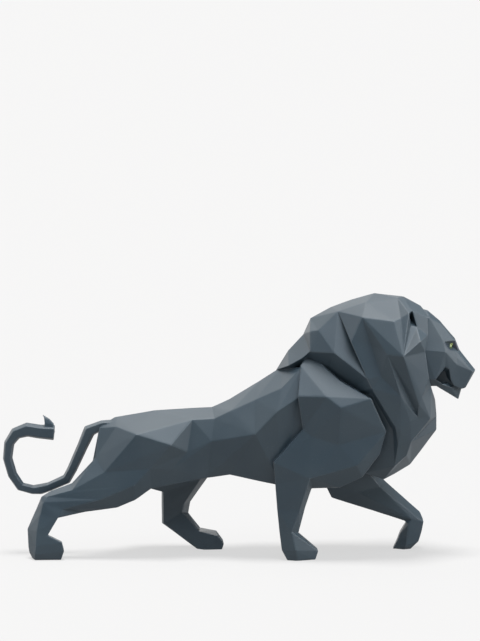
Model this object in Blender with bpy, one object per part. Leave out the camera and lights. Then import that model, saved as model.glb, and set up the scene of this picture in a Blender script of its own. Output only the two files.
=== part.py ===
"""A faceted porcelain lion in full stride, with its mouth a little open and its tail curled back.

The figure is drawn on its own grid: x runs forward, y out from the mid-plane and z up from the floor. Each
corner of a facet is one grid point. The whole figure is then scaled to its length.
"""

import bmesh
import bpy
from mathutils import Matrix, Vector

# Length from the curl of the tail to the tip of the nose, in metres
LENGTH = 0.510

GLAZE_COLOUR = (0.045, 0.066, 0.082, 1.0)
GLAZE_ROUGHNESS = 0.5

# Trunk: the half on one side of the mid-plane
TRUNK = {
    "dock": (-125, 0, 138),
    "croup": (-88, 0, 144.4),
    "rump": (-48, 0, 147),
    "loin": (-29, 0, 148),
    "back": (-11, 0, 156),
    "chine": (20, 0, 175),
    "nape": (40, 0, 188),
    "neck": (95, 0, 190),
    "gullet": (124, 0, 150),
    "seat": (-124, 15, 130),
    "pin": (-103, 33, 125),
    "hip": (-69, 39, 115.5),
    "waist": (-48, 22, 138.5),
    "saddle": (-26, 22, 139.5),
    "rib1": (-10, 24, 147.5),
    "rib2": (14, 26, 159),
    "rib3": (40, 31, 171),
    "blade": (60, 25, 191),
    "stifle": (-53, 29, 107),
    "flank1": (-29, 30, 118),
    "flank2": (14, 43, 127),
    "flank3": (35, 43, 149),
    "flank4": (57, 37, 163),
    "flank5": (95, 32, 140),
    "flank6": (124, 30, 138),
    "groin": (-68, 29, 90),
    "groinFar": (-86, 8, 75),
    "belly1": (-88, 25, 70),
    "belly2": (-34, 22, 80),
    "belly3": (-11, 22, 83),
    "belly4": (9, 24, 79),
    "belly5": (40, 26.5, 72.8),
    "belly6": (95, 22, 70),
    "belly7": (124, 20, 84),
    "keel1": (-88, 0, 74),
    "keel2": (-34, 0, 79),
    "keel3": (-11, 0, 81),
    "keel4": (9, 0, 78),
    "keel5": (40, 0, 71.8),
    "keel6": (95, 0, 66),
    "keel7": (124, 0, 82),
    "underTail": (-141, 0, 128),
    "tailSide": (-141, 8, 128),
    "crotch": (-106, 6, 84),
    "cleft": (-106, 0, 84),
}
TRUNK_FACETS = """
    dock underTail tailSide, dock tailSide seat, dock croup pin seat, croup rump waist pin, pin waist hip,
    rump loin saddle waist, loin back rib1 saddle, back chine rib2 rib1, chine nape rib3 rib2,
    nape neck blade rib3,
    hip waist stifle, waist saddle flank1 stifle, saddle rib1 flank2 flank1, rib1 rib2 flank2,
    rib2 rib3 flank3 flank2, rib3 blade flank4 flank3, blade flank5 flank4,
    flank1 flank2 belly3 belly2, flank2 belly4 belly3,
    flank2 flank3 belly5 belly4, flank3 flank4 belly5, flank4 flank5 belly6 belly5,
    belly2 belly3 keel3 keel2, belly3 belly4 keel4 keel3,
    belly4 belly5 keel5 keel4, belly5 belly6 keel6 keel5,
    neck blade flank5, neck flank5 flank6, flank5 belly6 belly7 flank6, belly6 keel6 keel7 belly7,
    neck flank6 gullet, gullet flank6 belly7 keel7,
    underTail tailSide crotch cleft
"""
# Each haunch springs from a loop of the trunk, tail side first. The far one reaches further forward.
NEAR_HAUNCH_FACETS = """
    stifle flank1 belly2 groin, groin belly2 belly1, belly1 belly2 keel2 keel1, cleft crotch belly1 keel1
"""
FAR_HAUNCH_FACETS = "stifle flank1 belly2, groinFar belly2 keel2 keel1, cleft crotch groinFar keel1"
NEAR_HAUNCH_LOOP = ["tailSide", "seat", "pin", "hip", "stifle", "groin", "belly1", "crotch"]
FAR_HAUNCH_LOOP = ["tailSide", "seat", "pin", "hip", "stifle", "belly2", "groinFar", "crotch"]

# Near hind leg, stretched back: upper rear, rear, crest, under edge (three times), front, inside
NEAR_HIND_LEG = [
    [(-148, 12, 93), (-144, 18, 100), (-135, 30, 87), (-90, 35, 91), (-90, 35, 91), (-90, 35, 91),
     (-88, 25, 70), (-108, 8, 74)],
    [(-168, 17, 74), (-167, 29.5, 69), (-167, 29.5, 69), (-105, 36, 75), (-105, 36, 75), (-105, 36, 75),
     (-105, 26, 58), (-112, 12, 64)],
    [(-189, 19, 66.5), (-192, 28, 62), (-192, 28, 62), (-139, 34.5, 60), (-139, 34.5, 60),
     (-139, 34.5, 60), (-122, 26, 51), (-135, 14, 56)],
    [(-198, 21, 61), (-196, 30, 56.5), (-196, 30, 56.5), (-177, 32.5, 50), (-177, 32.5, 50),
     (-177, 32.5, 50), (-155, 25, 46), (-175, 15, 52)],
    [(-204, 22, 47), (-199, 32, 44.5), (-199, 32, 44.5), (-181, 34.5, 42), (-181, 34.5, 42),
     (-181, 34.5, 42), (-182, 24, 41), (-200, 15, 46)],
    [(-212, 25, 29), (-202, 36, 29), (-202, 36, 29), (-191, 37, 25), (-191, 37, 25), (-191, 37, 25),
     (-192, 23, 23), (-208, 16, 28)],
    [(-211, 28, 12), (-203, 39, 14), (-203, 39, 14), (-177, 38, 18), (-177, 38, 18), (-177, 38, 18),
     (-178, 22, 16), (-206, 15, 12)],
    [(-210, 28, 6), (-204, 39, 6), (-204, 39, 6), (-175, 38, 9), (-175, 38, 9), (-175, 38, 9),
     (-176, 22, 8), (-206, 15, 6)],
    [(-207, 28, 0), (-204, 37, 0), (-204, 37, 0), (-178, 36, 0), (-178, 36, 0), (-178, 36, 0),
     (-179, 23, 0), (-204, 17, 0)],
]

# Far hind leg, stepping forward under the belly: the same lines
FAR_HIND_LEG = [
    [(-104, 18, 74), (-108, 30, 82), (-104, 38, 88), (-64, 41, 88), (-46, 38, 86), (-33, 32, 78),
     (-44, 15, 75), (-94, 12, 64)],
    [(-79, 26, 59), (-80, 34, 60), (-76, 38, 60), (-50, 38, 62), (-40, 37, 68), (-34, 34, 70),
     (-41, 18, 71), (-78, 16, 59)],
    [(-79, 26, 40), (-80, 34, 40), (-76, 37, 42), (-60, 37, 44), (-56, 36, 45), (-51, 34, 46),
     (-57, 18, 47), (-78, 16, 42)],
    [(-79, 26, 25), (-80, 34, 24), (-76, 38, 27), (-60, 38, 31), (-57, 37, 33), (-53, 34, 34.5),
     (-59, 18, 38), (-78, 16, 27)],
    [(-44, 24, 0), (-45, 36, 1), (-44, 40, 8), (-41, 40, 16), (-41, 39, 18), (-42, 36, 19),
     (-42, 16, 19), (-44, 15, 1)],
    [(-36, 24, 0), (-36, 36, 0), (-34, 40, 8), (-27, 40, 12), (-26, 39, 14), (-25, 36, 16),
     (-23, 16, 14), (-36, 15, 0)],
    [(-19, 24, 0), (-19, 34, 0), (-19, 37, 5), (-18, 37, 6), (-18, 36, 6), (-18, 34, 7),
     (-17, 17, 6), (-19, 17, 0)],
]

# Shoulder: the outer side, then the loop of its edge, which the inside copies near the mid-plane
SHOULDER = {
    "scapula": (59, 26, 193),
    "withers": (64, 20, 200),
    "crest1": (79, 24, 195),
    "crest2": (98, 35, 179),
    "crest3": (128, 45, 162.5),
    "front1": (143, 42, 129.6),
    "front2": (137, 38, 106),
    "front3": (120, 36, 83),
    "chest": (98, 32, 72),
    "armpit": (70, 32, 71),
    "elbow": (34, 36, 76),
    "crease1": (32, 38, 98),
    "crease2": (61, 37, 131),
    "rear": (56, 43, 164.8),
    "spine": (84, 47, 164.8),
    "boss": (98, 51, 154.6),
    "hinge": (69, 41, 125),
    "plate": (96, 46, 116.5),
    "under1": (114, 48, 96.5),
    "under2": (68, 47, 83.5),
}
SHOULDER_FACETS = """
    scapula withers crest1, scapula crest1 crest2 spine, spine crest2 crest3 boss, scapula spine rear,
    rear spine crease2, spine boss hinge, spine hinge crease2, boss plate hinge,
    boss crest3 front1 plate, plate front1 front2 under1, under1 front2 front3, under2 under1 front3 chest,
    under2 chest armpit, hinge plate under1 under2, crease2 hinge under2 crease1, crease1 under2 elbow
"""
SHOULDER_EDGE = [
    "withers", "crest1", "crest2", "crest3", "front1", "front2", "front3", "chest", "armpit",
    "elbow", "crease1", "crease2", "rear", "scapula",
]
SHOULDER_INSIDE = 8

# Near foreleg, planted: rear inside, rear, outside edge, front, front inside
NEAR_FORELEG = [
    [(37, 16, 50), (36, 36, 50), (58, 42, 51), (64, 32, 53), (62, 16, 53)],
    [(39, 15, 30), (38, 36, 30), (50, 41, 29), (57, 31, 26), (56, 15, 25)],
    [(41, 14, 10), (40.5, 37, 10), (54, 43, 11), (77, 34, 8.5), (76, 16, 8)],
    [(46, 15, 0), (46, 38, 0), (56, 41, 0), (74, 35, 0), (74, 17, 0)],
]

# Far foreleg, lifted and reaching: rear inside, middle inside, front inside, front outside, rear outside
FAR_FORELEG = [
    [(85, 12, 66), (100, 10, 78), (118, 10, 92), (122, 38, 92), (88, 36, 68)],
    [(91, 18, 53), (116, 15, 59), (140, 18, 63.5), (145, 40, 67), (93, 40, 54)],
    [(165, 19, 29), (172, 16, 31), (178, 18, 32), (181, 38, 35), (167, 38, 28)],
    [(166, 20, 27), (168, 15, 26), (184, 19, 28), (184, 36, 28), (168, 38, 27)],
    [(160, 20, 16), (167, 14, 14), (182, 19, 18), (182, 36, 18), (161, 37, 16)],
    [(157, 20, 8), (166, 14, 4), (179, 19, 8), (179, 36, 8), (158, 37, 8)],
    [(153, 22, 0), (164, 17, 0), (171, 20, 0), (171, 34, 0), (154, 35, 0)],
]

# Mane and chest: one half
MANE = {
    "m0": (35, 0, 185),
    "m1": (47, 0, 205),
    "m2": (62, 0, 221),
    "m3": (69, 0, 237),
    "m4": (89, 0, 248),
    "m5": (111, 0, 256),
    "m6": (132, 0, 262),
    "m7": (161, 0, 258.6),
    "m8": (178, 0, 249.5),
    "tuftA1": (47, 20, 192),
    "tuftA2": (60, 25, 200),
    "tuftA3": (68, 27, 206.9),
    "tuftA4": (68, 20, 226),
    "tuftB": (76, 24, 227.7),
    "tuftC1": (95.7, 18, 245.8),
    "tuftC2": (91.7, 39, 207),
    "tuftC3": (123.8, 47, 182.8),
    "fold1": (119, 38, 242.5),
    "fold2": (108, 42, 218),
    "fold3": (128, 40, 215.8),
    "fold4": (137.6, 45, 184.4),
    "top1": (123.4, 18, 255),
    "top2": (155, 8, 258),
    "top3": (150, 42, 239),
    "top4": (156.5, 37, 241.5),
    "jowl1": (158.7, 56.5, 206),
    "slit1": (143.2, 52, 207.3),
    "slit2": (172.6, 37, 147.5),
    "slit3": (175, 43, 156.3),
    "ridge1": (157, 47, 165),
    "ridge2": (167, 41, 139),
    "ridge3": (174, 38, 143),
    "low1": (128.5, 46, 173),
    "low2": (152, 43, 134),
    "low3": (157, 42, 129),
    "ear1": (165, 37, 246.5),
    "ear2": (168.5, 30, 248),
    "ear3": (173, 34, 232),
    "ear4": (167, 34, 234),
    "earDeep": (167, 20, 239),
    "jowl2": (175.7, 48, 219.8),
    "brow": (184, 24, 241),
    "temple": (184, 30, 224),
    "cheek1": (181, 39, 208.5),
    "cheek2": (185, 37, 182.5),
    "throat1": (188, 24, 171.6),
    "throat2": (187, 30, 140.6),
    "throat3": (178, 42, 163.6),
    "bib1": (193.5, 0, 155),
    "bib2": (195, 0, 139),
    "bib3": (195, 0, 125),
    "bib4": (169, 0, 90),
    "bib5": (153, 0, 80),
    "bib6": (138, 0, 76),
    "keel1": (168, 35, 118.4),
    "keel2": (164, 29, 103.5),
    "keel3": (160, 25, 98.5),
    "keel4": (142, 14, 77),
    "side1": (155, 38, 115),
    "side2": (152, 30, 93),
    "deep1": (64, 14, 194),
    "deep2": (84, 16, 182),
    "deep3": (104, 20, 164),
    "crack1": (129, 40, 168),
    "crack2": (150, 36, 130),
    "inner1": (118, 30, 145),
    "inner2": (132, 28, 112),
    "inner3": (124, 20, 84),
    "core1": (62, 0, 178),
    "core2": (92, 0, 160),
    "core3": (112, 0, 130),
    "core4": (115, 0, 84),
    "face1": (182, 0, 242),
    "face2": (176, 0, 205),
    "face3": (184, 0, 174),
}
MANE_FACETS = """
    m0 m1 tuftA1, m1 m2 tuftA3 tuftA2, m1 tuftA2 tuftA1, m2 tuftA4 tuftA3, m2 m3 tuftA4, m3 m4 tuftC1,
    m3 tuftC1 tuftB, m3 tuftB tuftA4, tuftA4 tuftB tuftA3, tuftB tuftC2 tuftA3, tuftB tuftC1 tuftC3 tuftC2,
    m4 m5 top1 tuftC1, m5 m6 top1, m6 m7 top2 top1, tuftC1 top1 fold1, top1 top2 top3 fold1,
    tuftC1 fold1 fold2, fold2 fold1 fold3, tuftC1 fold2 tuftC3, fold2 fold3 fold4, fold2 fold4 tuftC3,
    fold1 top3 jowl1, fold1 jowl1 slit1, fold1 slit1 fold3, fold3 slit1 fold4,
    fold4 slit1 ridge1, slit1 slit2 ridge1, slit1 jowl1 slit3, slit1 slit3 slit2,
    tuftC3 fold4 low1, fold4 ridge1 low1, low1 ridge1 low2, ridge1 slit2 ridge3, ridge1 ridge3 ridge2,
    ridge1 ridge2 low3, ridge1 low3 low2,
    m7 m8 ear2, m7 ear2 ear1 top2, top2 ear1 top4, top4 ear1 ear4 jowl1, top2 top4 top3, top4 jowl1 top3,
    ear1 ear2 earDeep, ear2 ear3 earDeep, ear3 ear4 earDeep, ear4 ear1 earDeep,
    m8 brow ear2, ear2 brow ear3, brow temple ear3, temple cheek1 jowl2, temple jowl2 ear3,
    ear3 jowl2 jowl1, ear3 jowl1 ear4,
    jowl1 jowl2 cheek1, jowl1 cheek1 cheek2, jowl1 cheek2 throat3, jowl1 throat3 slit3,
    cheek2 throat1 throat3, throat3 throat1 throat2, slit3 throat3 throat2 ridge3, slit3 ridge3 slit2,
    throat1 bib1 bib2 throat2, throat2 bib2 keel1, ridge3 throat2 keel1, ridge2 ridge3 keel1,
    low3 ridge2 keel1, low3 keel1 side1, side1 keel1 keel2, side1 keel2 keel3 side2, side2 keel3 keel4,
    bib2 bib3 bib4 keel1, keel1 bib4 keel3 keel2, keel3 bib4 bib5 keel4, keel4 bib5 bib6,
    m0 tuftA1 deep1 core1, tuftA1 tuftA2 deep1, tuftA2 tuftA3 deep1, tuftA3 tuftC2 deep2 deep1,
    tuftC2 tuftC3 deep3 deep2, tuftC3 low1 crack1 deep3, low1 low2 crack2 crack1,
    crack1 crack2 inner2 inner1, crack1 inner1 deep3, low2 low3 side1, low2 side1 crack2,
    crack2 side1 side2, crack2 side2 inner2, side2 keel4 inner3 inner2, keel4 bib6 core4 inner3,
    core1 deep1 deep2 core2, core2 deep2 deep3, core2 deep3 core3, deep3 inner1 core3,
    inner1 inner2 core3, inner2 inner3 core4 core3,
    m8 face1 brow, brow face1 face2 temple, temple face2 cheek1, cheek1 face2 face3 cheek2,
    cheek2 face3 throat1, throat1 face3 bib1
"""

# Head above the mouth: one half
HEAD = {
    "crownMid": (172, 0, 248),
    "crownSide": (172, 20, 240),
    "foreheadMid": (185, 0, 245),
    "forehead": (186, 18, 240),
    "browMid": (197.5, 0, 234.5),
    "brow": (199, 10, 232),
    "lidMid": (212.5, 0, 217),
    "lid": (212, 10, 215.8),
    "bridgeMid": (217, 0, 205.5),
    "bridge": (216, 6, 204),
    "noseMid": (233.2, 0, 185),
    "nose": (230, 7, 184.5),
    "lipMid": (224, 0, 168),
    "lip": (223, 7, 168),
    "eyeOuter": (200, 20, 216),
    "eyeInner": (214, 8.5, 205),
    "eyeUnder": (206, 18, 208),
    "eye": (208, 7, 211),
    "temple": (180, 30, 209),
    "cheek": (202, 23, 206),
    "snoutTop": (214, 12, 199),
    "snout": (214, 14, 192),
    "mouth1": (219, 9, 167),
    "mouth2": (211, 13, 171),
    "mouth3": (208, 15, 177),
    "mouth4": (206, 18, 188),
    "mouth5": (202, 20, 191),
    "mouth6": (192, 25, 179),
    "palate1": (219, 0, 170),
    "palate2": (200, 0, 182),
    "palate3": (184, 0, 178),
    "back1": (172, 28, 178),
    "back2": (172, 0, 176),
}
HEAD_FACETS = """
    crownMid foreheadMid forehead crownSide, foreheadMid browMid brow forehead, browMid lidMid lid brow,
    lidMid bridgeMid bridge lid, forehead brow eyeOuter, brow lid eyeOuter, forehead eyeOuter temple,
    crownSide forehead temple, eyeOuter lid eye, lid bridge eye, bridge eyeInner eye,
    eyeInner eyeUnder eye, eyeUnder eyeOuter eye, temple eyeOuter cheek, eyeOuter eyeUnder cheek,
    cheek eyeUnder snoutTop snout, eyeUnder eyeInner snoutTop, bridge bridgeMid noseMid nose,
    eyeInner bridge nose, eyeInner nose snoutTop, snoutTop nose snout, snout nose lip mouth1,
    snout mouth1 mouth2, snout mouth2 mouth3, snout mouth3 mouth4, snout mouth4 mouth5 cheek,
    temple cheek mouth5 mouth6, temple mouth6 back1, nose noseMid lipMid lip, lip lipMid palate1 mouth1,
    mouth1 palate1 mouth2, mouth2 palate1 palate2 mouth3, mouth3 palate2 mouth4, mouth4 palate2 mouth5,
    mouth5 palate2 mouth6, mouth6 palate2 palate3 back1, back1 palate3 back2, crownMid crownSide temple,
    crownMid temple back1 back2
"""

# Lower jaw: one half
JAW = {
    "corner": (190, 24, 180.5),
    "lip1": (200, 18, 173),
    "lip2": (208, 12, 169),
    "lip3": (216, 7, 171),
    "chinTop": (220, 5, 172),
    "chinTopMid": (221, 0, 172),
    "chin": (215.5, 5, 156.5),
    "chinMid": (216.5, 0, 155.5),
    "under": (193, 17, 171.5),
    "underMid": (194, 0, 171),
    "tongue1": (212, 0, 174),
    "tongue2": (192, 0, 174),
    "back": (176, 20, 172),
    "backTop": (176, 20, 180),
    "backMid": (176, 0, 170),
    "backTopMid": (176, 0, 176),
}
JAW_FACETS = """
    corner lip1 under, lip1 lip2 under, under lip2 chin, lip2 lip3 chin, lip3 chinTop chin,
    chinTop chinTopMid chinMid chin, under chin chinMid underMid, under underMid backMid back,
    corner under back backTop, lip1 corner tongue2, lip1 tongue2 tongue1 lip2, lip2 tongue1 lip3,
    lip3 tongue1 chinTopMid chinTop, corner backTop backTopMid tongue2, back backMid backTopMid backTop
"""

# Tail: centre line from the dock to the curl, as x, z and half the depth from inside to outside edge
TAIL = [
    (-120, 131, 5.0), (-138, 129.5, 5.0), (-151, 124, 6.5), (-158.5, 107, 5.2), (-168.5, 85, 5.0),
    (-174, 75, 5.2), (-191, 67.5, 4.6), (-200, 64.8, 5.4), (-208, 64.3, 4.8), (-220, 67.5, 4.8),
    (-228, 79.5, 4.8), (-232.7, 96, 4.8), (-231, 111.5, 5.3), (-224.5, 121, 6.2), (-213, 125, 7.2),
    (-201, 123, 7.2), (-186, 121.8, 7.8),
]
TAIL_HALF_WIDTH = 6.5
# Its section, as shares of the half depth and of the half width
TAIL_SECTION = [(1, 0), (0.62, 1), (-0.62, 1), (-1, 0), (-0.62, -1), (0.62, -1)]
# The tuft at its end: level rings from the base up to the point
TUFT = [
    [(-196, -5, 124), (-185.5, -5, 122), (-185.5, 5, 122), (-196, 5, 124)],
    [(-195.5, -4, 132), (-186.5, -4, 130.5), (-186.5, 4, 130.5), (-195.5, 4, 132)],
    [(-196, -2.5, 136.5), (-190.5, -2.5, 135.5), (-190.5, 2.5, 135.5), (-196, 2.5, 136.5)],
]
TUFT_POINT = (-198, 0, 140.5)
# A web between the jaws closes the mouth in the middle
TONGUE = [(180, 170), (186, 186), (206, 190), (213, 180), (218, 170), (215, 166), (196, 170)]
TONGUE_HALF_WIDTH = 9


def near(corner):
    """The corner on the near side of the mid-plane."""
    return (corner[0], -corner[1], corner[2])


def far(corner):
    return corner


def facets_of(text, corners, side):
    """The facets that a text names, as loops of corners on one side of the mid-plane."""
    return [[side(corners[name]) for name in facet.split()] for facet in text.split(",")]


def both_sides(text, corners):
    return facets_of(text, corners, near) + facets_of(text, corners, far)


def skin(rings):
    """The facets between neighbouring rings of corners."""
    facets = []
    for first, second in zip(rings, rings[1:]):
        for i in range(len(first)):
            j = (i + 1) % len(first)
            facets.append([first[i], first[j], second[j], second[i]])
    return facets


def limb(rings, side):
    return [[side(corner) for corner in ring] for ring in rings]


def fold_outwards(shape):
    """Splits every facet of four corners along the diagonal that bulges."""
    for face in [f for f in shape.faces if len(f.verts) == 4]:
        a, b, c, d = (v.co for v in face.verts)
        normal = (b - a).cross(c - a)
        bulges = (d - a).dot(normal) <= 0
        ends = (0, 2) if bulges else (1, 3)
        bmesh.utils.face_split(face, face.verts[ends[0]], face.verts[ends[1]])


def solid(name, facets):
    """One closed faceted mesh. Corners in the same place are one vertex, and repeated ones drop out."""
    shape = bmesh.new()
    vertices = {}
    for facet in facets:
        loop = []
        for corner in facet:
            if corner not in vertices:
                vertices[corner] = shape.verts.new(corner)
            if vertices[corner] not in loop:
                loop.append(vertices[corner])
        if len(loop) > 2 and not shape.faces.get(loop):
            shape.faces.new(loop)
    bmesh.ops.recalc_face_normals(shape, faces=shape.faces)
    fold_outwards(shape)
    bmesh.ops.triangulate(shape, faces=shape.faces)
    bmesh.ops.recalc_face_normals(shape, faces=shape.faces)
    mesh = bpy.data.meshes.new(name)
    shape.to_mesh(mesh)
    shape.free()
    piece = bpy.data.objects.new(name, mesh)
    bpy.context.scene.collection.objects.link(piece)
    return piece


def body():
    """The trunk with both hind legs, one skin."""
    facets = both_sides(TRUNK_FACETS, TRUNK)
    for side, seam, loop, rings in (
        (near, NEAR_HAUNCH_FACETS, NEAR_HAUNCH_LOOP, NEAR_HIND_LEG),
        (far, FAR_HAUNCH_FACETS, FAR_HAUNCH_LOOP, FAR_HIND_LEG),
    ):
        leg = limb([[TRUNK[name] for name in loop]] + rings, side)
        facets += facets_of(seam, TRUNK, side) + skin(leg) + [leg[-1]]
    return solid("body", facets)


def shoulder(name, side, foreleg):
    """A shoulder closed near the mid-plane, with or without a foreleg below it."""
    edge = [SHOULDER[corner] for corner in SHOULDER_EDGE]
    inside = [(x, SHOULDER_INSIDE, z) for x, y, z in edge]
    facets = facets_of(SHOULDER_FACETS, SHOULDER, side)
    open_edge = (SHOULDER_EDGE.index("armpit"), SHOULDER_EDGE.index("elbow"))
    rims = limb([edge, inside], side)
    walls = skin(rims)
    if foreleg:
        walls.pop(open_edge[0])
        armpit, elbow = (rims[1][i] for i in open_edge)
        top = [elbow, side(SHOULDER["elbow"]), side(SHOULDER["under2"]), side(SHOULDER["armpit"]), armpit]
        leg = [top] + limb(foreleg, side)
        facets += skin(leg) + [leg[-1]]
    else:
        facets += facets_of("under2 armpit elbow", SHOULDER, side)
    return solid(name, facets + walls + [rims[1]])


def far_foreleg():
    leg = limb(FAR_FORELEG, far)
    return solid("farForeleg", skin(leg) + [leg[0], leg[-1]])


def tail():
    """A six-sided strap swept along the centre line, with a ridge on its inner and outer edges."""
    rings = []
    for i, (x, z, depth) in enumerate(TAIL):
        before, after = TAIL[max(i - 1, 0)], TAIL[min(i + 1, len(TAIL) - 1)]
        along = Vector((after[0] - before[0], 0, after[1] - before[1])).normalized()
        out = Vector((along.z, 0, -along.x))
        middle = Vector((x, 0, z))
        across = Vector((0, TAIL_HALF_WIDTH, 0))
        rings.append([tuple(middle + out * depth * high + across * wide) for high, wide in TAIL_SECTION])
    return solid("tail", skin(rings) + [rings[0], rings[-1]])


def tongue():
    rims = [[(x, y, z) for x, z in TONGUE] for y in (-TONGUE_HALF_WIDTH, TONGUE_HALF_WIDTH)]
    return solid("tongue", skin(rims) + rims)


def tuft():
    return solid("tuft", skin(TUFT + [[TUFT_POINT] * len(TUFT[0])]) + [TUFT[0]])


def scale_to_length(pieces):
    """Scales the grid to metres, with the middle of the length at x = 0."""
    xs = [v.co.x for piece in pieces for v in piece.data.vertices]
    start, end = min(xs), max(xs)
    to_metres = Matrix.Scale(LENGTH / (end - start), 4)
    to_middle = Matrix.Translation((-(start + end) / 2, 0, 0))
    for piece in pieces:
        piece.data.transform(to_metres @ to_middle)


def fuse(base, pieces):
    """Joins the pieces to the base with Booleans and hides them as guides."""
    for piece in pieces:
        piece.hide_render = True
        piece.display_type = "WIRE"
        join = base.modifiers.new("join " + piece.name, "BOOLEAN")
        join.operation = "UNION"
        join.solver = "EXACT"
        join.object = piece


def glaze():
    material = bpy.data.materials.new("glaze")
    material.use_nodes = True
    shader = material.node_tree.nodes["Principled BSDF"]
    shader.inputs["Base Color"].default_value = GLAZE_COLOUR
    shader.inputs["Roughness"].default_value = GLAZE_ROUGHNESS
    shader.inputs["Metallic"].default_value = 0.0
    return material


def main():
    for obj in list(bpy.data.objects):
        bpy.data.objects.remove(obj)
    lion = body()
    lion.name = "lion"
    lion.data.materials.append(glaze())
    pieces = [
        shoulder("nearShoulder", near, NEAR_FORELEG),
        shoulder("farShoulder", far, None),
        far_foreleg(),
        solid("mane", both_sides(MANE_FACETS, MANE)),
        solid("head", both_sides(HEAD_FACETS, HEAD)),
        solid("jaw", both_sides(JAW_FACETS, JAW)),
        tongue(),
        tail(),
        tuft(),
    ]
    scale_to_length([lion] + pieces)
    fuse(lion, pieces)


main()
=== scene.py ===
import math

import bmesh
import bpy
import numpy as np
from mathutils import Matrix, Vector


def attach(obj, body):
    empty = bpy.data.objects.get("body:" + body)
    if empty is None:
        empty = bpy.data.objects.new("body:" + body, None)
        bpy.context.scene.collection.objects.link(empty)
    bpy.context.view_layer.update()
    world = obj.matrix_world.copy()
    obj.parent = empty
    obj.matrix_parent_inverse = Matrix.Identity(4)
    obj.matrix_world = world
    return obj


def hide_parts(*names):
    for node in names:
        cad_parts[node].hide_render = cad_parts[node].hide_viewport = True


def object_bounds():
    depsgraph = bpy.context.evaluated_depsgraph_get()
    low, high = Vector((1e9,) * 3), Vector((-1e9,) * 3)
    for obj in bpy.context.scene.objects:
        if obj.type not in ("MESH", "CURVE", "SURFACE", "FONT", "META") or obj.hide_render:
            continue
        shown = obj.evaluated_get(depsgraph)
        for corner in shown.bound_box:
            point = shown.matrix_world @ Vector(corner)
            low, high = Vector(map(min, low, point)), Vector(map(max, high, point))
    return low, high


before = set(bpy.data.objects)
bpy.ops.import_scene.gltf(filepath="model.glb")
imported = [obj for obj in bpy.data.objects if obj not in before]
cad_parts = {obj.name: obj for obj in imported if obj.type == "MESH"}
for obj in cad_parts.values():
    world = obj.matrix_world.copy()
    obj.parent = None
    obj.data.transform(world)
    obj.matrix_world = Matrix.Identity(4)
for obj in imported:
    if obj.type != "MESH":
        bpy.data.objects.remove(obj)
cadLow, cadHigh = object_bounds()
print("frame loaded")


# Shader maths

# One socket of a shader, so that an expression on values adds the nodes that work it out. Without a
# socket it only makes other nodes
class Wire:
    def __init__(self, tree, socket=None):
        self.tree = tree
        self.socket = socket

    # any node: its settings first, then the values or links of its sockets
    def node(self, kind, settings, sockets, output=0):
        made = self.tree.nodes.new("ShaderNode" + kind)
        for name, value in settings.items():
            setattr(made, name, value)
        for name, value in sockets.items():
            if isinstance(value, Wire):
                self.tree.links.new(value.socket, made.inputs[name])
            else:
                made.inputs[name].default_value = value
        return Wire(self.tree, made.outputs[output])

    # another output of the node that this socket is on
    def beside(self, output):
        return Wire(self.tree, self.socket.node.outputs[output])

    def maths(self, operation, first, second=0.0):
        return self.node("Math", {"operation": operation}, {0: first, 1: second})

    def __add__(self, other):
        return self.maths("ADD", self, other)

    def __radd__(self, other):
        return self.maths("ADD", other, self)

    def __sub__(self, other):
        return self.maths("SUBTRACT", self, other)

    def __rsub__(self, other):
        return self.maths("SUBTRACT", other, self)

    def __mul__(self, other):
        return self.maths("MULTIPLY", self, other)

    def __rmul__(self, other):
        return self.maths("MULTIPLY", other, self)

    def __truediv__(self, other):
        return self.maths("DIVIDE", self, other)

    def __rtruediv__(self, other):
        return self.maths("DIVIDE", other, self)

    def __pow__(self, other):
        return self.maths("POWER", self, other)

    def __rpow__(self, other):
        return self.maths("POWER", other, self)

    def __abs__(self):
        return self.maths("ABSOLUTE", self)

    # 0 below low, 1 above high and a smooth rise between them
    def rise(self, low, high):
        return self.node("MapRange", {"interpolation_type": "SMOOTHSTEP"}, {0: self, 1: low, 2: high})

    # one colour turning into another as this value goes from 0 to 1
    def between(self, first, second):
        return self.node("Mix", {"data_type": "RGBA"}, {0: self, 6: first, 7: second}, 2)


# A colour without hue, as a shader's socket takes it
def grey(level):
    return (level, level, level, 1)


# The glazed skin

skinShape = {
    "mergeDistance": 1e-6,            # corners of the loose triangles that are nearer are one, in metres
    "facetTurn": math.radians(0.4),   # two facets that differ by less are one
    "softTurn": math.radians(2.0),    # an edge that bends by more is a soft crease
    "sharpTurn": math.radians(9.0),   # or a sharp one
    "coarse": 0.0120,                 # longest edge in the middle of a facet, in metres
    "fine": 0.0030,                   # longest edge beside a soft crease
    "finest": 0.0016,                 # and beside a sharp one
    "passes": 2,                      # times that the creases are eased
    "ease": 0.35,                     # share of the way to the neighbours' middle, each time
    "waveHeight": 0.00010,            # about how far a hand-finished facet strays from flat
    "waveLengths": (0.055, 0.034, 0.021),  # of the sine waves that the swell is the sum of, in metres
    "wavesOfEach": 5,                 # how many of each length
    "seed": 12,
    "toneDepth": 0.00020,             # crease rounding that counts as a full change of tone
}
tiny = 1e-30                          # added to a length, so that a division by it can't fail


# Each edge once, as its two points, and the numbers of every triangle's three edges
def edgesOf(triangles):
    ends = np.sort(np.stack([triangles, np.roll(triangles, -1, 1)], 2), 2).reshape(-1, 2)
    size = triangles.max() + 1
    keys, number = np.unique(ends[:, 0] * size + ends[:, 1], return_inverse=True)
    return np.stack([keys // size, keys % size], 1), number.reshape(-1, 3)


# The distance between each edge's two points
def lengthsOf(points, edges):
    return np.linalg.norm(points[edges[:, 0]] - points[edges[:, 1]], axis=1)


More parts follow.
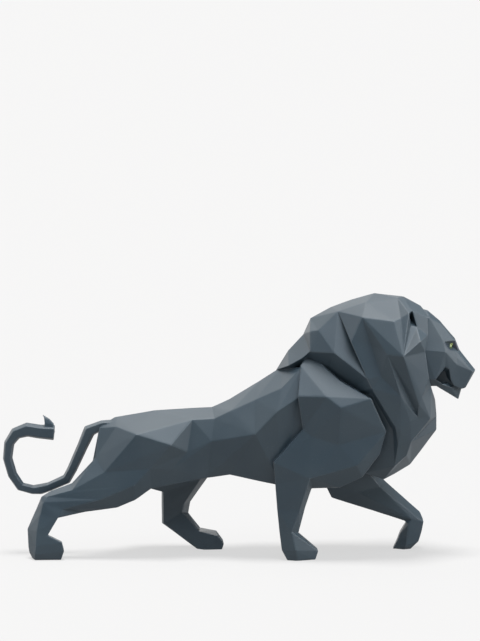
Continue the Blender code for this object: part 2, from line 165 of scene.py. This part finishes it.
# Splits every marked edge at its middle, and its triangles into two, three or four
def splitEdges(points, triangles, edges, number, marked):
    middle = len(points) + np.cumsum(marked) - 1
    points = np.concatenate([points, points[edges[marked]].mean(1)])
    hit = marked[number]
    count = hit.sum(1)
    # turned so that a lone marked edge comes first, and a lone unmarked edge last
    first = np.where(count == 1, hit.argmax(1), np.where(count == 2, (hit.argmin(1) + 1) % 3, 0))
    order = (first[:, None] + np.arange(3)) % 3
    corners = np.take_along_axis(triangles, order, 1)
    halves = middle[np.take_along_axis(number, order, 1)]
    parts = [corners[count == 0]]
    a, b, c = corners[count == 1].T
    ab = halves[count == 1, 0]
    parts += [np.stack([a, ab, c], 1), np.stack([ab, b, c], 1)]
    a, b, c = corners[count == 2].T
    ab, bc = halves[count == 2, 0], halves[count == 2, 1]
    # the four-sided rest is cut along its shorter diagonal
    shorter = lengthsOf(points, np.stack([a, bc], 1)) < lengthsOf(points, np.stack([ab, c], 1))
    parts += [
        np.stack([ab, b, bc], 1),
        np.stack([a, ab, np.where(shorter, bc, c)], 1),
        np.stack([np.where(shorter, a, ab), bc, c], 1),
    ]
    a, b, c = corners[count == 3].T
    ab, bc, ca = halves[count == 3].T
    parts += [np.stack(three, 1) for three in ((a, ab, ca), (ab, b, bc), (ca, bc, c), (ab, bc, ca))]
    return points, np.concatenate(parts)


# Edges over which the surface turns by more than the given angle
def creasesOf(points, triangles, edges, number, turn):
    corners = points[triangles]
    normals = np.cross(corners[:, 1] - corners[:, 0], corners[:, 2] - corners[:, 0])
    normals /= np.linalg.norm(normals, axis=1)[:, None] + tiny
    total = np.zeros((len(edges), 3))
    for axis in range(3):
        total[:, axis] = np.bincount(number.ravel(), np.repeat(normals[:, axis], 3), len(edges))
    # two unit normals that differ by an angle add up to twice the cosine of its half
    return np.linalg.norm(total, axis=1) < 2 * math.cos(turn / 2)


# Halves the edges again and again: all of them down to the coarse length, those that touch a soft crease
# down to the fine one, and those that touch a sharp crease down to the finest
def refine(points, triangles, shape):
    # a turn of 0 stands for every edge
    steps = [
        (shape["coarse"], 0), (shape["coarse"] / 2, shape["softTurn"]), (shape["fine"], shape["softTurn"]),
        (shape["fine"] / 2, shape["sharpTurn"]), (shape["finest"], shape["sharpTurn"]),
    ]
    for length, turn in steps:
        while True:
            edges, number = edgesOf(triangles)
            onCrease = np.full(len(points), turn == 0)
            onCrease[edges[creasesOf(points, triangles, edges, number, turn)]] = True
            marked = (lengthsOf(points, edges) > length) & onCrease[edges].any(1)
            if not marked.any():
                break
            points, triangles = splitEdges(points, triangles, edges, number, marked)
    return points, triangles, edges


# Every point moves part of the way to the middle of its neighbours, which rounds the creases and leaves
# the flat of a facet flat
def easeCreases(points, edges, shape):
    first, second = edges[:, 0], edges[:, 1]
    count = np.bincount(edges.ravel(), minlength=len(points))[:, None]
    for _ in range(shape["passes"]):
        total = np.zeros_like(points)
        for axis in range(3):
            total[:, axis] = np.bincount(first, points[second, axis], len(points))
            total[:, axis] += np.bincount(second, points[first, axis], len(points))
        points = points + shape["ease"] * (total / count - points)
    return points


# Each point's outward direction: the sum of its triangles' directions, the larger ones counting more
def normalsOf(points, triangles):
    corners = points[triangles]
    faces = np.cross(corners[:, 1] - corners[:, 0], corners[:, 2] - corners[:, 0])
    normals = np.zeros_like(points)
    for axis in range(3):
        normals[:, axis] = np.bincount(triangles.ravel(), np.repeat(faces[:, axis], 3), len(points))
    return normals / (np.linalg.norm(normals, axis=1)[:, None] + tiny)


# A slow swell: a sum of sine waves in random directions, the shorter ones lower
def swell(points, shape):
    random = np.random.default_rng(shape["seed"])
    height = np.zeros(len(points))
    longest = shape["waveLengths"][0]
    for waveLength in shape["waveLengths"]:
        for _ in range(shape["wavesOfEach"]):
            way = random.normal(size=3)
            way *= 2 * math.pi / waveLength / np.linalg.norm(way)
            height += np.sin(points @ way + random.uniform(0, 2 * math.pi)) * waveLength / longest
    return height / math.sqrt(shape["wavesOfEach"])


# The skin is a copy of the solid's facets, with its creases eased and its facets swelled. How far each
# point was eased is kept as an attribute for the glaze
def makeSkin():
    mesh = bmesh.new()
    mesh.from_mesh(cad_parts["lion"].data)
    bmesh.ops.remove_doubles(mesh, verts=mesh.verts, dist=skinShape["mergeDistance"])
    bmesh.ops.dissolve_limit(
        mesh, angle_limit=skinShape["facetTurn"], verts=mesh.verts, edges=mesh.edges,
    )
    bmesh.ops.triangulate(mesh, faces=mesh.faces)
    mesh.verts.index_update()
    points = np.array([v.co[:] for v in mesh.verts])
    triangles = np.array([[v.index for v in face.verts] for face in mesh.faces])
    mesh.free()
    points, triangles, edges = refine(points, triangles, skinShape)

    eased = easeCreases(points, edges, skinShape)
    normals = normalsOf(eased, triangles)
    # how far the crease went in (ridge, above 0) or out (groove, below 0)
    ridge = ((points - eased) * normals).sum(1) / skinShape["toneDepth"]
    eased += normals * (swell(eased, skinShape) * skinShape["waveHeight"])[:, None]
    eased = np.clip(eased, np.array(cadLow), np.array(cadHigh))

    data = bpy.data.meshes.new("lionSkin")
    data.from_pydata(eased, [], triangles)
    tone = data.attributes.new("ridge", "FLOAT", "POINT")
    tone.data.foreach_set("value", np.clip(ridge, -1, 1))
    data.shade_smooth()
    # the larger triangles lead, so that a facet is shaded flat right up to its eased edge
    data.normals_split_custom_set_from_vertices(normalsOf(eased, triangles))
    data.update()
    skin = bpy.data.objects.new("lionSkin", data)
    bpy.context.scene.collection.objects.link(skin)
    print("skin made:", len(triangles), "triangles")
    return skin


# The glaze and the painted eyes

glazeLook = {
    "full": (0.024, 0.040, 0.0535, 1),
    "drift": (0.029, 0.045, 0.0575, 1),  # the same glaze, where it fired a little paler
    "driftScale": 22,                    # scales and details are those of the noise
    "driftDetail": 3.0,
    "driftRange": (0.35, 0.65),          # the noise values over which it turns paler
    "thinAndSheen": (0.130, 0.150, 0.165, 1),    # paler over a sharp edge: glaze run thin there, and a painted highlight
    "thinAndSheenFrom": 0.30,                    # the share of a full change of tone at which it starts to show
    "thinAndSheenShare": 0.45,
    "pooled": (0.020, 0.032, 0.044, 1),  # in a groove
    "pooledFrom": 0.15,
    "pooledShare": 0.6,
    "speck": (0.11, 0.125, 0.14, 1),
    "speckScale": 900,
    "speckDetail": 1.0,
    "speckRange": (0.70, 0.78),          # the noise values over which a speck comes up
    "speckShare": 0.25,
    "gloss": 0.42,                       # the shader's specular level
    "roughness": 0.47,
    "roughnessDrift": 0.08,
    "grainScale": 1400,
    "grainHeight": 0.000012,
    "peelScale": 260,
    "peelHeight": 0.00003,
    "bumpDetail": 2.0,                   # of the grain and of the peel
}
# Painted spots, in the order of painting. Each is an ellipse as the side view shows it: its middle (x,
# distance from the mid-plane, z), how many degrees its length tips up towards the nose, half its length,
# width and depth, how soft its edge is as a share of them, and its colour
eyeLook = {
    # painted shade: darker paint on the socket's lower facet, which faces the light
    "shade": {
        "middle": (0.2243, 0.0170, 0.2283), "lean": -39, "long": 0.0066, "high": 0.0026, "deep": 0.009,
        "edge": 0.35, "colour": (0.008, 0.018, 0.030, 1),
    },
    # painted light: paler paint on the socket's upper facet, which lies in shade
    "socket": {
        "middle": (0.2322, 0.0086, 0.2288), "lean": -55, "long": 0.0062, "high": 0.0024, "deep": 0.006,
        "edge": 0.35, "colour": (0.062, 0.068, 0.088, 1),
    },
    "olive": {
        "middle": (0.2278, 0.0120, 0.2271), "lean": 20, "long": 0.0016, "high": 0.0013, "deep": 0.009,
        "edge": 0.45, "colour": (0.050, 0.075, 0.012, 1),
    },
    "gold": {
        "middle": (0.2282, 0.0085, 0.2290), "lean": 48, "long": 0.0020, "high": 0.0015, "deep": 0.012,
        "edge": 0.15, "colour": (0.54, 0.62, 0.26, 1),
    },
    "pale": (0.48, 0.53, 0.36, 1),       # the gold's lower end
    "paleFrom": 0.9,                     # how far down its half length the gold is all pale
    "goldRoughness": 0.32,
}


# The glaze runs thin over sharp edges, painted paler there as a painted highlight too, and pools in
# grooves, with a slow drift and fine specks. The eyes are painted over it, their sockets with painted
# shade and painted light
def makeGlaze():
    material = bpy.data.materials.new("lionGlaze")
    material.use_nodes = True
    tree = material.node_tree
    shader = tree.nodes["Principled BSDF"]
    start = Wire(tree)
    place = start.node("TexCoord", {}, {}, "Object")

    def noise(scale, detail):
        return start.node("TexNoise", {}, {"Vector": place, "Scale": scale, "Detail": detail}, 0)

    drift = noise(glazeLook["driftScale"], glazeLook["driftDetail"])
    ridge = start.node("Attribute", {"attribute_name": "ridge"}, {}, "Fac")
    colour = drift.rise(*glazeLook["driftRange"]).between(glazeLook["full"], glazeLook["drift"])
    specks = noise(glazeLook["speckScale"], glazeLook["speckDetail"]).rise(*glazeLook["speckRange"])
    colour = (specks * glazeLook["speckShare"]).between(colour, glazeLook["speck"])
    # sharp edges paler: glaze run thin, and a painted highlight along the ridges
    thinAndSheen = ridge.rise(glazeLook["thinAndSheenFrom"], 1.0) * glazeLook["thinAndSheenShare"]
    colour = thinAndSheen.between(colour, glazeLook["thinAndSheen"])
    pooled = (0.0 - ridge).rise(glazeLook["pooledFrom"], 1.0) * glazeLook["pooledShare"]
    colour = pooled.between(colour, glazeLook["pooled"])

    x = start.node("SeparateXYZ", {}, {0: place}, "X")
    y = x.beside("Y")
    z = x.beside("Z")

    # where a point lies along a spot, as a share of its half length, and how much of its paint it has
    def paint(spot):
        along = x - spot["middle"][0]
        across = abs(y) - spot["middle"][1]
        up = z - spot["middle"][2]
        turn, lift = math.cos(math.radians(spot["lean"])), math.sin(math.radians(spot["lean"]))
        lengthways = (along * turn + up * lift) / spot["long"]
        upwards = (up * turn - along * lift) / spot["high"]
        deep = across / spot["deep"]
        far = (lengthways * lengthways + upwards * upwards + deep * deep) ** 0.5
        return lengthways, 1.0 - far.rise(1 - spot["edge"], 1 + spot["edge"])

    # first the socket's painted shade and painted light, then the olive under the gold
    for name in ("shade", "socket", "olive"):
        colour = paint(eyeLook[name])[1].between(colour, eyeLook[name]["colour"])
    lengthways, eye = paint(eyeLook["gold"])
    pale = (0.0 - lengthways).rise(0.0, eyeLook["paleFrom"])
    gold = pale.between(eyeLook["gold"]["colour"], eyeLook["pale"])
    colour = eye.between(colour, gold)

    roughness = glazeLook["roughness"] + (drift - 0.5) * glazeLook["roughnessDrift"]
    roughness = roughness * (1.0 - eye) + eye * eyeLook["goldRoughness"]
    grain = start.node("Bump", {}, {
        "Strength": 1.0, "Distance": glazeLook["grainHeight"],
        "Height": noise(glazeLook["grainScale"], glazeLook["bumpDetail"]),
    })
    peel = start.node("Bump", {}, {
        "Strength": 1.0, "Distance": glazeLook["peelHeight"],
        "Height": noise(glazeLook["peelScale"], glazeLook["bumpDetail"]), "Normal": grain,
    })
    shader.inputs["Specular IOR Level"].default_value = glazeLook["gloss"]
    tree.links.new(colour.socket, shader.inputs["Base Color"])
    tree.links.new(roughness.socket, shader.inputs["Roughness"])
    tree.links.new(peel.socket, shader.inputs["Normal"])
    return material


skin = makeSkin()
skin.data.materials.append(makeGlaze())
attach(skin, "root")
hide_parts("lion")
print("skin glazed")


# The studio

studio = {
    "floorSize": 90.0,                     # in metres
    "floorDrop": 0.0002,                   # how far it lies below the soles, so that they never coincide
    "floorColour": (0.0300, 0.0296, 0.0294, 1),  # what it returns of the lamps' light
    "floorRoughness": 0.9,
    "floorGlow": 0.46,                     # its own glow, as of a white sheet lit from below
    "floorShows": 0.172,                   # how much brighter the picture shows it than it lights the lion
    "lampPower": 22.5,                     # the floor's own lamp, in watts per square metre
    "lampWidth": math.radians(17),         # how wide that lamp looks from the floor
    "lampTilt": math.radians(1.5),         # how far its light leans to the back
    "backdrop": 0.92,                      # how bright what lies beyond the floor looks
    "tent": 0.11,                          # even light from everywhere
    # softboxes: azimuth and elevation of the middle, half the width, all in degrees, brightness, and how
    # cool the light is: by what share it has more blue and less red than white
    "softboxes": {
        "key": (300, 66, 25, 4.4, 0.08),
        "overhead": (95, 83, 23, 5.9, -0.04),
        "right": (0, 38, 30, 0.8, 0.0),
        "rightLow": (352, 6, 32, 3.6, 0.0),
        "left": (180, 10, 28, 2.3, 0.0),
        "back": (112, 22, 32, 2.1, -0.03),
        "fill": (240, 62, 25, 1.1, 0.05),
    },
    "softness": 0.3,                       # how much of a softbox's half width is a soft edge
}


# A wide sheet just under the feet
def makeFloor():
    half = studio["floorSize"] / 2
    corners = [(-half, -half), (half, -half), (half, half), (-half, half)]
    data = bpy.data.meshes.new("floor")
    data.from_pydata([(x, y, -studio["floorDrop"]) for x, y in corners], [], [(0, 1, 2, 3)])
    material = bpy.data.materials.new("floorPaper")
    material.use_nodes = True
    shader = material.node_tree.nodes["Principled BSDF"]
    shader.inputs["Base Color"].default_value = studio["floorColour"]
    shader.inputs["Roughness"].default_value = studio["floorRoughness"]
    shader.inputs["Specular IOR Level"].default_value = 0.0
    shader.inputs["Emission Strength"].default_value = 1.0
    seen = Wire(material.node_tree).node("LightPath", {}, {}, "Is Camera Ray")
    glow = seen.between(grey(studio["floorGlow"]), grey(studio["floorGlow"] + studio["floorShows"]))
    material.node_tree.links.new(glow.socket, shader.inputs["Emission Color"])
    data.materials.append(material)
    floor = bpy.data.objects.new("floor", data)
    bpy.context.scene.collection.objects.link(floor)
    return floor


# A lamp overhead that lights the floor alone, which gives the lion a short shadow close to its feet
def makeFloorLamp(floor):
    data = bpy.data.lights.new("floorLamp", "SUN")
    data.energy = studio["lampPower"]
    data.angle = studio["lampWidth"]
    lamp = bpy.data.objects.new("floorLamp", data)
    lamp.rotation_euler = (studio["lampTilt"], 0, 0)
    lit = bpy.data.collections.new("floorAlone")
    lit.objects.link(floor)
    lamp.light_linking.receiver_collection = lit
    bpy.context.scene.collection.objects.link(lamp)


# A light tent with softboxes: each is a round patch of the sky, bright in the middle and soft at its edge
def makeTent():
    world = bpy.data.worlds.new("lightTent")
    world.use_nodes = True
    tree = world.node_tree
    start = Wire(tree)
    way = start.node("TexCoord", {}, {}, "Generated")
    light = studio["tent"]
    cool = 0.0
    for azimuth, elevation, spread, brightness, coolness in studio["softboxes"].values():
        turn, rise = math.radians(azimuth), math.radians(elevation)
        middle = (math.cos(turn) * math.cos(rise), math.sin(turn) * math.cos(rise), math.sin(rise))
        near = start.node("VectorMath", {"operation": "DOT_PRODUCT"}, {0: way, 1: middle}, "Value")
        outer = math.cos(math.radians(spread * (1 + studio["softness"])))
        inner = math.cos(math.radians(spread * (1 - studio["softness"])))
        patch = near.rise(outer, inner) * brightness
        light = light + patch
        cool = cool + patch * coolness
    colour = start.node("CombineColor", {}, {"Red": light - cool, "Green": light, "Blue": light + cool})
    seen = start.node("LightPath", {}, {}, "Is Camera Ray")
    colour = seen.between(colour, grey(studio["backdrop"]))
    background = tree.nodes["Background"]
    background.inputs["Strength"].default_value = 1.0
    tree.links.new(colour.socket, background.inputs["Color"])
    bpy.context.scene.world = world


camera = {
    "elevation": math.radians(9),
    "distance": 3.5214,              # from the point that it is aimed at
    "focalPixels": 3259,             # the lens's focal length, in pixels of the image
    "imageHeight": 641,
    "imageMiddle": (240, 320.5),
    "aimPixel": (240.9, 427.05),     # where the point below shows in the image
    "aimPoint": (0.00232, 0.0, 0.13815),
    "sensorWidth": 36.0,             # in millimetres, along the image's longer side
    "farthest": 200.0,               # how far it sees, in metres
}


# The camera stands in front of the -Y side and is turned until the aim point shows at its pixel
def makeCamera():
    data = bpy.data.cameras.new("camera")
    data.sensor_width = camera["sensorWidth"]
    data.lens = camera["sensorWidth"] * camera["focalPixels"] / camera["imageHeight"]
    data.clip_end = camera["farthest"]
    viewer = bpy.data.objects.new("camera", data)
    tilt = math.atan((camera["aimPixel"][1] - camera["imageMiddle"][1]) / camera["focalPixels"])
    turn = math.atan((camera["aimPixel"][0] - camera["imageMiddle"][0]) / camera["focalPixels"])
    rise = camera["elevation"]
    back = Vector((0, -math.cos(rise), math.sin(rise)))
    viewer.location = Vector(camera["aimPoint"]) + back * camera["distance"]
    viewer.rotation_euler = (math.pi / 2 - rise + tilt, 0, turn)
    bpy.context.scene.collection.objects.link(viewer)
    bpy.context.scene.camera = viewer


makeFloorLamp(makeFloor())
makeTent()
makeCamera()
bpy.context.scene.view_settings.view_transform = "Standard"
print("studio set")
